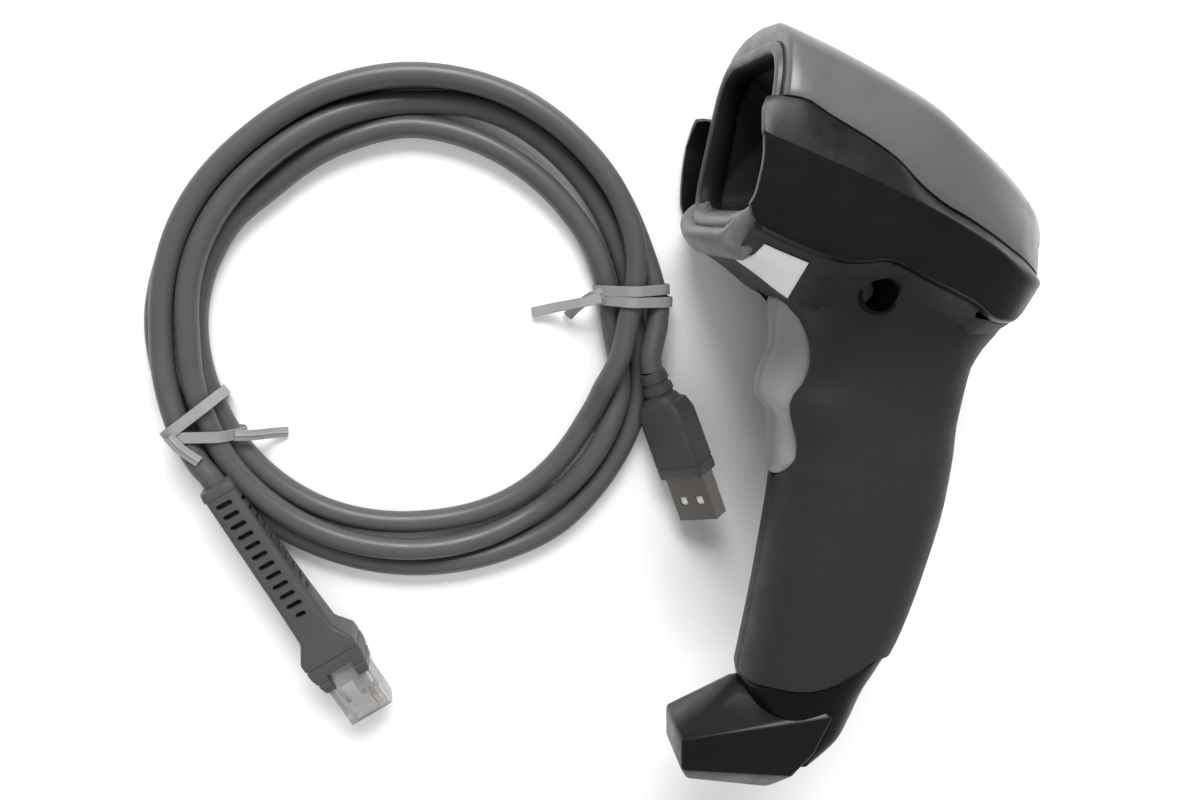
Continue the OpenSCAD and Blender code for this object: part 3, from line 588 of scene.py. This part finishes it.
slot_ends = [-11.1, -10.9, -10.5, -9.9, -9.1, -8.2, -6.4, -5.2, 30.9, 30.4, 29.4]
grip_rows_y = sorted(set([-46 + 2.4 * i for i in range(38)] + slot_ends))
for sign, side_name in ((1, "left"), (-1, "right")):
    rows = []
    for i in range(8):
        row = []
        for j in range(41):
            a = math.pi * j / 40
            x = oval_point(-52, a, grip_front(-54), grip_rear(-52), 15)[0]
            low = base_edge(x)
            y = low + (-46.4 - low) * i / 8
            row.append(oval_point(y, a, grip_front(y), grip_rear(y), grip_hw(y) - 0.04, sign))
        rows.append(row)
    for y in grip_rows_y:
        w = well_half_width(y)
        start = math.asin(min(1, (w / grip_hw(y))) ** (1 / POWER))
        rows.append([oval_point(y, start + (math.pi - start) * (j / 40), grip_front(y),
                                grip_rear(y), grip_hw(y), sign) for j in range(41)])
    rows = [[(p[0], p[1], p[2] + sign * 0.07) if j in (0, 40) else p
             for j, p in enumerate(row)] for row in rows]
    verts, faces = grid(rows, flip=sign < 0)
    shell = build("grip_" + side_name, verts, faces, M_GRIP, "scanner",
                  [side_name + "_grip_shell"], 40)
    thicken(shell, 1.8, 0.25)
    if sign > 0:
        left_grip = shell

SCREW = Vector((-4, 34.4, MID))
WELL_R = 3.6


def ring_points(r, n):
    return [(r * math.cos(2 * math.pi * k / n), r * math.sin(2 * math.pi * k / n))
            for k in range(n)]


circle = ring_points(3.7, 40)
hole = prism(circle, SCREW + Z * 12, X, Y, Z, 30)
snap = prism(pill(6.0, 2.6), Vector((19.4, 34.3, MID + 12)), X, Y, Z, 30)
cut(left_grip, [hole, snap], 40)
cut(belly, [hole, snap], 40)
soften(left_grip, 0.12)

# Ribbed wall of the screw hole
rows = []
for z, r in ((10.6, WELL_R), (10.6, 3.62), (23.0, 3.65), (23.0, 4.4), (10.4, 4.4)):
    row = []
    for k in range(96):
        a = 2 * math.pi * k / 96
        rib = 0.32 if (k % 8 in (0, 1, 2) and r < 3.64) else 0.0
        row.append((SCREW.x + (r - rib) * math.cos(a), SCREW.y + (r - rib) * math.sin(a), MID + z))
    rows.append(row)
verts, faces = grid(rows, close_u=True)
n = len(verts)
verts += [(SCREW.x + u, SCREW.y + v, MID + 10.5) for u, v in ring_points(WELL_R, 96)]
faces.append(tuple(range(n, n + 96)))
build("screw_well", verts, faces, M_BASE, "scanner", (), 30)

# ---------------------------------------------------------------- trigger
blade_front = smooth([[-11, -12.6], [-10, -12.5], [-6, -12.9], [-1.3, -13.9], [2.2, -14.8],
                      [3.6, -15.6], [5.2, -17.5], [6.8, -19.0], [9.9, -19.4], [14.7, -18.9],
                      [19.5, -18.2], [24.1, -19.1], [28.6, -19.8], [30.2, -19.6]])
blade_edge = smooth([[-11, -12.4], [-10.4, -11.8], [-9.4, -11.4], [-8, -11.0], [-6.2, -10.5],
                     [-4.5, -10.1], [-1.1, -10.7], [4.3, -13.2], [7.7, -14.2], [11.5, -12.2],
                     [16.3, -11.2], [20.7, -12.4], [26.8, -16.2], [30.2, -18.6]])
BLADE_HW = 8.65
BLADE_GAP = 0.75    # between the blade and the ends of its slot
rows = []
for i in range(49):
    y = -11.0 + 41.0 * i / 48
    pinch = 0.5 if i in (0, 48) else (0.15 if i in (1, 47) else 0)
    f, e = blade_front(y) + pinch, blade_edge(y) + 0.7
    wide = max(0.8, min(BLADE_HW, well_half_width(y) - BLADE_GAP)) if y < 0 else BLADE_HW
    back = min(e + 3.5, -4.6)
    arc = [(e + (f - e) * (1 - abs(k / 8 - 1) ** 2.9), y, MID + wide * (k / 8 - 1))
           for k in range(17)]
    rows.append([(back, y, MID - wide)] + arc + [(back, y, MID + wide)])
verts, faces = grid(rows, close_u=True, cap=True, flip=True)
trigger = build("trigger_blade", verts, faces, M_TRIGGER, "trigger", ["trigger"],
                45)
soften(trigger, 0.4)

# ---------------------------------------------------------------- foot
heel_front = smooth([[-80, 3], [-72, 0], [-66, -8], [-60, -10.2], [-46, -10.2]])
heel_rear = smooth([[-80, 11.4], [-77, 14], [-72, 17.4], [-66, 19.3], [-60, 20.6], [-54, 23],
                    [-46, 26.2]])
heel_hw = smooth([[-80, 9.5], [-72, 12], [-66, 13.6], [-60, 14.4], [-46, 15]])
rows = []
ring = 56
for i in range(23):
    row = []
    for j in range(ring):
        a = 2 * math.pi * j / ring
        x = oval_point(-56, a, -10, 21.6, 15)[0]
        top = base_edge(x) - 0.45
        y = -80 + (top + 80) * (i / 20)
        y = min(y, top + 1.8)
        inset = 0.35 if i <= 20 else 1.5
        c, s = math.cos(a), math.sin(a)
        x0, x1 = heel_front(y) + inset, heel_rear(y) - inset
        row.append(((x0 + x1) / 2 - (x1 - x0) / 2 * math.copysign(abs(c) ** POWER, c), y,
                    MID + (heel_hw(y) - inset) * math.copysign(abs(s) ** POWER, s)))
    rows.append(row)
verts, faces = grid(rows, close_u=True)
verts += [((heel_front(-80) + heel_rear(-80)) / 2, -80.4, MID)]
faces += [(j, (j + 1) % ring, len(verts) - 1) for j in range(ring)]
heel = build("base_collar", verts, faces, M_BASE, "scanner", ["base_cap"], 40)
thicken(heel, 1.8, 0.2)
PORT_X = (6.4, 16.6)
port_box = prism([(PORT_X[0], -95), (PORT_X[1], -95), (PORT_X[1], -60), (PORT_X[0], -60)],
                 Vector((0, 0, MID - 6.6)), X, Y, Z, 13.2)
cut(heel, [port_box], 40)
soften(heel, 0.12)

TOE = [(-23.3, -76.3, 9.4), (-21.9, -83.7, 9.1), (-19.4, -87.05, 6.6), (10.4, -64.3, 14.4),
       (8, -74, 14), (4.5, -81, 12.4), (1, -87.05, 7), (3.4, -85, 7.6), (9, -63.6, 13.4)]
# Crowned top face: one arc across the instep, and the hull fans out from it to the tip
TOE += [(-10.6, -71.75 + 9.2 * h, 11.3 * w) for w, h in ((0.45, 0.72), (0.3, 0.87), (0.15, 0.96),
                                                        (0.02, 1.0))]
shape = bmesh.new()
for p in TOE:
    for s in (-1, 1):
        shape.verts.new((p[0] * MM, p[1] * MM, (MID + s * p[2]) * MM))
hull = bmesh.ops.convex_hull(shape, input=shape.verts)
inside = [e for e in hull["geom_interior"] if isinstance(e, bmesh.types.BMVert)]
bmesh.ops.delete(shape, geom=inside, context="VERTS")
bmesh.ops.dissolve_limit(shape, angle_limit=math.radians(3), verts=shape.verts,
                         edges=shape.edges)
shape.normal_update()
toe = build("toe_piece", [(0, 0, 0)], [], M_TOE, "scanner", ["toe"], 40)
shape.to_mesh(toe.data)
shape.free()
toe.data.materials.clear()
toe.data.materials.append(M_TOE)
soften(toe, 0.8, 3, 22)
bake(toe, 35)
cut(toe, [prism([(PORT_X[0], -95), (30, -95), (30, -55), (PORT_X[0], -55)],
                Vector((0, 0, MID - 6.6)), X, Y, Z, 13.2)], 35)


# ---------------------------------------------------------------- nose
def closed_round(corners, r, arc=6):
    out = []
    n = len(corners)
    for i in range(n):
        a, b, c = (Vector(corners[k % n]) for k in (i - 1, i, i + 1))
        u, v = (a - b).normalized(), (c - b).normalized()
        ang = math.acos(max(-1, min(1, u.dot(v))))
        cut_back = (r[i] if isinstance(r, list) else r) / math.tan(ang / 2)
        p, q = b + u * cut_back, b + v * cut_back
        for k in range(arc + 1):
            t = k / arc
            out.append((1 - t) ** 2 * p + 2 * t * (1 - t) * b + t * t * q)
    return out


def opening(d):
    low, top = 46 - d, 79.7 + d
    wide, narrow = 27.4 + d, 22 + d
    return closed_round([(-wide, low), (wide, low), (narrow, top), (-narrow, top)],
                        [8 + d * 0.6, 8 + d * 0.6, 11.5 + d * 0.6, 11.5 + d * 0.6])


rows = []
for x, d in ((-29.6, -0.5), (-33.9, -0.3), (-34.7, 0.0), (-35.05, 0.3), (-35.1, 0.7), (-35.1, 1.1),
             (-34.95, 1.45), (-34.5, 1.6), (-32.6, 1.7), (-32.4, 2.2), (-32.4, 4.0),
             (-31.0, 4.0)):
    rows.append([head_point(x, p if p.y < 66 else q)
                 for p, q in zip(opening(d), opening(min(d, 1.8)))])
verts, faces = grid(rows, close_u=True)
inner = [1 if sum(verts[i][0] for i in f) / 4 > -34.4 else 0 for f in faces]
rim = build("window_rim", verts, faces, [M_RIM, M_RECESS], "scanner", ["front_bezel"],
            40, inner)
thicken(rim, 0.5, 0)


def lip_path(d):
    """U-shaped line of the chin lip, moved inwards by d at the bottom and less up the sides."""
    pts = rounded([(27.2, 55), (27.2, 37.2), (0, 37.0), (-27.2, 37.2), (-27.2, 55)],
                  [9.5, 300, 9.5], 9)
    pts = split(pts, [8] + [1] * (len(pts) - 3) + [8])
    out = []
    for p in pts:
        up = max(0.0, min(1.0, (p.y - 38) / 12))
        s = 1 - 0.86 * up
        out.append(Vector((p.x - math.copysign(min(1, abs(p.x) / 20) ** 3 * d * s, p.x),
                           p.y + d * s * (1 - up) ** 0.5)))
    return out


rows = []
for x, d in ((-33.8, -0.35), (-34.7, 0.1), (-36.6, 1.1), (-37.8, 2.0), (-38.35, 2.7), (-38.5, 3.4),
             (-38.4, 4.2), (-38.0, 4.7), (-36.9, 4.9), (-36.6, 5.1), (-36.6, 5.7), (-36.9, 6.0),
             (-37.1, 6.4), (-37.1, 7.2), (-36.8, 7.8), (-35.6, 8.2), (-32.0, 8.6)):
    row = []
    for p in lip_path(d):
        up = max(0.0, min(1.0, (p.y - 42) / 7))
        row.append(head_point(x + (-32.6 - x) * 0.85 * up * up, p))
    rows.append(row)
verts, faces = grid(rows)
lip = build("chin_lip", verts, faces, M_BEZEL, "scanner", (), 50)
thicken(lip, 0.5, 0)


def resample(points, lo, hi, n):
    """Even points along a polyline between two arc lengths."""
    lengths = [0.0]
    for i in range(1, len(points)):
        lengths.append(lengths[-1] + (points[i] - points[i - 1]).length)
    out = []
    for k in range(n + 1):
        s = lo + (hi - lo) * k / n
        i = max(j for j in range(len(points) - 1) if lengths[j] <= s)
        t = (s - lengths[i]) / max(lengths[i + 1] - lengths[i], 1e-6)
        out.append(points[i].lerp(points[i + 1], min(1, t)))
    return out


# Blank label that wraps the chin
rows = []
for i in range(17):
    t = i / 16
    row = []
    for j, p in enumerate(resample(belly_section(-26), 5.2, 20.6, 20)):
        u = j / 20
        x = -32.6 - 1.4 * u + (9.8 + 3.0 * u) * t
        q = resample(belly_section(x), 5.2, 20.6, 20)
        a, b = q[max(0, j - 1)], q[min(20, j + 1)]
        normal = Vector((-(b.y - a.y), b.x - a.x)).normalized()
        q = q[j] - normal * 0.14 if normal.x < 0 else q[j] + normal * 0.14
        row.append(head_point(x, q))
    rows.append(row)
verts, faces = grid(rows)
label = build("chin_label", verts, faces, M_LABEL, "scanner", ["blank_label"], 60)
thicken(label, 0.12, 0, offset=1.0)

# Status light: a patch of the cover's surface, a little proud of it
rows = []
for i in range(11):
    x = 33.2 + 4.1 * i / 10
    section = cover_section(x)
    half_w = 7.6 - 0.9 * abs(2 * i / 10 - 1) ** 3
    row = []
    for j in range(13):
        w = half_w * (-1 + j / 6)
        k = min(range(len(section) - 1),
                key=lambda m: 0 if section[m].x >= w >= section[m + 1].x else 1)
        a, b = section[k], section[k + 1]
        t = (a.x - w) / max(a.x - b.x, 1e-6)
        y = a.y + (b.y - a.y) * t
        edge = 0.0 if i in (0, 10) or j in (0, 12) else 0.35
        row.append((min(38.4, x + edge * 0.8), y + edge * 0.6, MID + w))
    rows.append(row)
verts, faces = grid(rows, flip=True)
light = build("status_light", verts, faces, M_LIGHT, "scanner", ["status_light_lens"],
              40)
thicken(light, 0.9, 0)

# ---------------------------------------------------------------- plugs
BOOT = (Matrix.Translation(BOOT_AT) @ Matrix.Rotation(math.radians(-51), 4, "Z")
        @ Matrix.Rotation(math.radians(4), 4, "Y"))
USB = (Matrix.Translation(Vector((-34.8, -2, 8.6))) @ Matrix.Rotation(math.radians(-60), 4, "Z")
       @ Matrix.Rotation(math.radians(48), 4, "X"))


def sleeve(name, place, sections, mat, body, replaces):
    """Closed body lofted through rounded rectangles of (x, half y, half z, corner radius)."""
    rows = []
    for x, hy, hz, r in sections:
        ring = closed_round([(-hy, -hz), (hy, -hz), (hy, hz), (-hy, hz)], min(r, hy, hz) - 0.001, 5)
        rows.append([place @ Vector((x, p.x, p.y)) for p in ring])
    verts, faces = grid(rows, close_u=True, cap=True, flip=False)
    return build(name, verts, faces, mat, body, replaces, 38)


def axes(place):
    rot = place.to_3x3()
    return rot @ X, rot @ Y, rot @ Z


def local_prism(place, centre, outline, depth, face):
    """Cutter that goes into a body from its top, bottom or side, in the body's own frame."""
    ax, ay, az = axes(place)
    u, v, w = {"top": (ax, ay, az), "bottom": (ax, -ay, -az), "right": (ax, az, -ay),
               "left": (ax, -az, ay)}[face]
    return prism(outline, place @ Vector(centre) - w * depth, u, v, w, depth + 4)


boot = sleeve("bend_relief_boot", BOOT, [
    (0.0, 3.3, 3.3, 2.6), (0.35, 3.9, 3.8, 2.4), (2.2, 4.15, 4.0, 2.0), (2.6, 4.1, 3.95, 2.0),
    (2.9, 3.8, 3.7, 1.8), (12, 4.0, 3.85, 1.7), (24, 4.25, 4.0, 1.7), (36, 4.5, 4.2, 1.7),
    (45.5, 4.8, 4.45, 1.7), (46.6, 5.2, 4.6, 1.4), (50.0, 7.2, 5.0, 0.7), (50.6, 7.4, 5.1, 0.7),
    (52.6, 7.4, 5.1, 0.7), (52.8, 7.15, 4.85, 0.7), (53.2, 7.15, 4.85, 0.7), (53.4, 7.4, 5.1, 0.7),
    (55.2, 7.35, 5.1, 0.7), (57.2, 6.9, 4.95, 0.7), (57.4, 6.65, 4.75, 0.7),
    (57.8, 6.65, 4.75, 0.7), (58.0, 6.8, 4.9, 0.7), (60.2, 6.3, 4.7, 0.7), (60.5, 6.1, 4.5, 0.6)],
    M_BOOT, "cable_set", ["bend_relief_boot"])
slots = []
for i in range(12):
    x = 5.0 + 3.05 * i
    wide = 4.2 if i < 11 else 2.8
    for face, z in (("top", 4.0), ("bottom", -4.0)):
        slots.append(local_prism(BOOT, (x, 0, z * (1 + 0.003 * i)), pill(1.35, wide), 2.4, face))
    if i < 10:
        for face, y in (("right", -4.0), ("left", 4.0)):
            slots.append(local_prism(BOOT, (x + 1.5, y * (1 + 0.004 * i), 0), pill(1.45, 4.2), 2.0,
                                     face))
along, across, up = axes(BOOT)
mouth = prism([(-5.9, -3.35), (5.9, -3.35), (5.9, 3.35), (-5.9, 3.35)],
              BOOT @ Vector((53.8, 0, 0)), across, up, along, 9)
latch_way = prism([(-3.4, 2.8), (3.4, 2.8), (3.4, 6), (-3.4, 6)], BOOT @ Vector((56, 0, 0)),
                  across, up, along, 9)
cut(boot, slots + [mouth, latch_way], 38)

usb = sleeve("usb_overmould", USB, [
    (-8.0, 2.9, 2.9, 2.9), (-7.7, 3.2, 3.2, 3.2), (-5.6, 3.4, 3.35, 3.2), (-5.3, 3.1, 3.1, 3.1),
    (-4.6, 3.1, 3.1, 3.1), (-4.3, 3.5, 3.4, 3.1), (-2.6, 3.7, 3.45, 3.0), (-2.3, 3.3, 3.2, 3.0),
    (-1.6, 3.3, 3.2, 3.0), (-1.3, 3.8, 3.5, 2.8), (0.0, 4.4, 3.6, 2.0), (0.4, 5.3, 3.7, 1.2),
    (2.4, 6.3, 3.9, 1.6), (3.6, 6.7, 4.0, 1.6), (11.0, 6.8, 4.0, 1.5), (17.0, 6.8, 4.0, 1.3),
    (17.15, 6.6, 3.85, 1.3), (17.5, 6.6, 3.85, 1.3), (17.65, 6.8, 4.0, 1.3),
    (20.0, 6.8, 3.95, 1.2), (20.45, 6.6, 3.75, 1.1), (20.6, 6.3, 3.5, 0.9)],
    M_USB, "cable_set", ["usb_overmould"])
along, across, up = axes(USB)
cut(usb, [prism([(-6, -2.25), (6, -2.25), (6, 2.25), (-6, 2.25)], USB @ Vector((13, 0, 0)),
                across, up, along, 9)], 38)

# Bright spring tabs under the shell's two windows
verts, faces = [], []
for y in (-2.6, 2.6):
    v, f = prism(pill(2.9, 2.9, 2), USB @ Vector((27.35, y, 1.2)), along, across, up, 0.6)
    faces += [tuple(i + len(verts) for i in face) for face in f]
    verts += v
tabs = build("usb_spring_tabs", verts, faces, M_TONGUE, "cable_set", (), 30)


# ---------------------------------------------------------------- ties
def ribbon(name, paths, width, slot_node):
    """Flat ribbons with a raised centre ridge, each along a path with its width direction."""
    verts, faces = [], []
    for path, across, closed in paths:
        half_w = width / 2
        rows = []
        n = len(path)
        for i, p in enumerate(path):
            a, b = (path[(i - 1) % n], path[(i + 1) % n]) if closed else (
                path[max(0, i - 1)], path[min(n - 1, i + 1)])
            forward = (b - a).normalized()
            over = (across - forward * across.dot(forward)).normalized()
            up = forward.cross(over)
            rows.append([p + over * half_w * u + up * h for u, h in
                         ((-1, -0.1), (-0.55, 0.03), (-0.16, 0.05), (0, 0.32), (0.16, 0.05),
                          (0.55, 0.03), (1, -0.1), (0.95, -0.5), (-0.95, -0.5))])
        if closed:
            rows.append(rows[0])
        v, f = grid(rows, close_u=True, cap=not closed)
        k = len(verts)
        verts += v
        faces += [tuple(q + k for q in face) for face in f]
    return build(name, verts, faces, M_TIE, "cable_set", [slot_node], 50)


def loop_round(centre, heading, reach, margin):
    """Path that hugs the strands where a vertical plane crosses them."""
    d = Vector((math.cos(math.radians(heading)), math.sin(math.radians(heading)), 0))
    n = Vector((-d.y, d.x, 0))
    circles = []
    for p, q in zip(route[:-1], route[1:]):
        a, b = (p - centre).dot(n), (q - centre).dot(n)
        if a * b <= 0 and a != b:
            hit = p.lerp(q, a / (a - b))
            s = (hit - centre).dot(d)
            if abs(s) < reach:
                slant = 1 / max(0.5, abs((q - p).normalized().dot(n)))
                circles.append((s, hit.z, slant))
    cloud = []
    for s, z, slant in circles:
        for k in range(24):
            a = 2 * math.pi * k / 24
            cloud.append((s + (CABLE_D / 2 * slant + margin) * math.cos(a),
                          max(0.52, z + (CABLE_D / 2 + margin) * math.sin(a))))
    cloud = sorted(set(cloud))

    def chain(points):
        out = []
        for p in points:
            while len(out) > 1 and ((out[-1][0] - out[-2][0]) * (p[1] - out[-2][1])
                                    - (out[-1][1] - out[-2][1]) * (p[0] - out[-2][0])) <= 0:
                out.pop()
            out.append(p)
        return out[:-1]
    hull_points = chain(cloud) + chain(cloud[::-1])
    ring = [Vector(p) for p in hull_points] + [Vector(hull_points[0])]
    total = sum((ring[i + 1] - ring[i]).length for i in range(len(ring) - 1))
    even = resample(ring, 0, total * 0.9999, 72)[:-1]
    return [Vector((centre.x, centre.y, 0)) + d * p.x + Z * p.y for p in even], n


def tail(points, across):
    return spline_points([Vector(p) for p in points], 1.0), Vector(across), False


paths = []
for shift in (-1.32, 1.32):
    centre = Vector((-48.5, 22.6, 0)) + Vector((-0.163, 0.987, 0)) * shift
    loop, n = loop_round(centre, 9.4 + shift, 13, 0.35)
    paths.append((loop, n, True))
paths.append(tail([(-54.6, 22.6, 8.6), (-57.0, 21.0, 7.6), (-58.8, 19.0, 5.4),
                   (-60.2, 16.8, 2.8), (-61.4, 14.6, 1.0)], (0.9, -0.5, 0.1)))
paths.append(tail([(-54.8, 21.2, 8.2), (-58.2, 19.6, 7.6), (-61.6, 18.0, 5.6),
                   (-65.6, 16.3, 2.6), (-70.4, 14.2, 0.9)], (0.35, 0.93, 0)))
right_tie = ribbon("coil_tie_right", paths, 2.6, "coil_tie_right")

paths = []
for start, end, lift in (((-151.4, -26.6), (-139.9, -14.4), 0.9),
                         ((-151.2, -27.8), (-132.5, -25.7), 0.35)):
    a, b = Vector(start + (0,)), Vector(end + (0,))
    heading = math.degrees(math.atan2(b.y - a.y, b.x - a.x))
    loop, n = loop_round((a + b) / 2, heading, 13, lift)
    paths.append((loop, n, True))
paths.append(tail([(-137.4, -26.1, 8.6), (-134.4, -25.9, 7.4), (-131.6, -25.7, 5.2),
                   (-128.8, -25.5, 2.4), (-125.9, -25.2, 0.9)], (0.05, 1, 0)))
paths.append(tail([(-151.6, -27.6, 12.9), (-149.4, -29.6, 13.2), (-146.6, -31.4, 12.9),
                   (-144.2, -32.7, 12.7)], (0.5, 0.86, 0)))
left_tie = ribbon("coil_tie_left", paths, 2.7, "coil_tie_left")

# ---------------------------------------------------------------- carried-over CAD nodes
for material, names in (
        (M_RECESS, ["window_shroud"]), (M_RUBBER, ["window_gasket"]), (M_WINDOW, ["scan_window"]),
        (M_STEEL, ["housing_screw", "board_screws", "trigger_pivot_pin", "trigger_spring"]),
        (M_ENGINE, ["imager_housing", "lens_barrel", "beeper", "board_chips"]),
        (M_GLASS, ["lens"]), (M_SENSOR, ["image_sensor"]), (M_AIMER, ["aimer"]),
        (M_LED, ["illumination_leds"]), (M_BRACKET, ["engine_bracket"]),
        (M_FLEX, ["engine_flex_cable"]), (M_BOARD, ["main_board", "handle_board"]),
        (M_CREAM, ["board_header"]), (M_SOCKET, ["trigger_switch", "cable_socket"]),
        (M_AMBER, ["switch_plunger"]), (M_GOLD, ["socket_contacts", "plug_contacts",
                                                 "usb_contacts"]),
        (M_CLEAR, ["modular_plug", "plug_latch"]), (M_PLUGSTEEL, ["usb_shell"]),
        (M_TONGUE, ["usb_tongue"])):
    for name in names:
        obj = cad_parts[name]
        obj.data.materials.clear()
        obj.data.materials.append(material)

# ---------------------------------------------------------------- floor and light
build("floor", [(-2500, -2500, 0), (2500, -2500, 0), (2500, 2500, 0), (-2500, 2500, 0)],
      [(0, 1, 2, 3)], M_FLOOR, "stage")


def lamp(name, energy, place, aim, size, size_y, glossy=True):
    data = bpy.data.lights.new(name, "AREA")
    data.energy = energy
    data.shape = "RECTANGLE"
    data.size = size
    data.size_y = size_y
    obj = bpy.data.objects.new(name, data)
    bpy.context.scene.collection.objects.link(obj)
    obj.location = place
    obj.rotation_euler = (Vector(aim) - Vector(place)).to_track_quat("-Z", "Y").to_euler()
    obj.visible_glossy = glossy


lamp("softbox", 20.0, (-0.17, 0.85, 0.7), (-0.05, 0.0, 0.02), 0.85, 0.5)
lamp("fill", 7.5, (0.35, -0.85, 0.9), (-0.05, 0.0, 0.02), 1.0, 0.8, False)
world = bpy.data.worlds.new("studio")
bpy.context.scene.world = world
world.use_nodes = True
world.node_tree.nodes["Background"].inputs["Color"].default_value = (1, 1, 1, 1)
world.node_tree.nodes["Background"].inputs["Strength"].default_value = 0.4
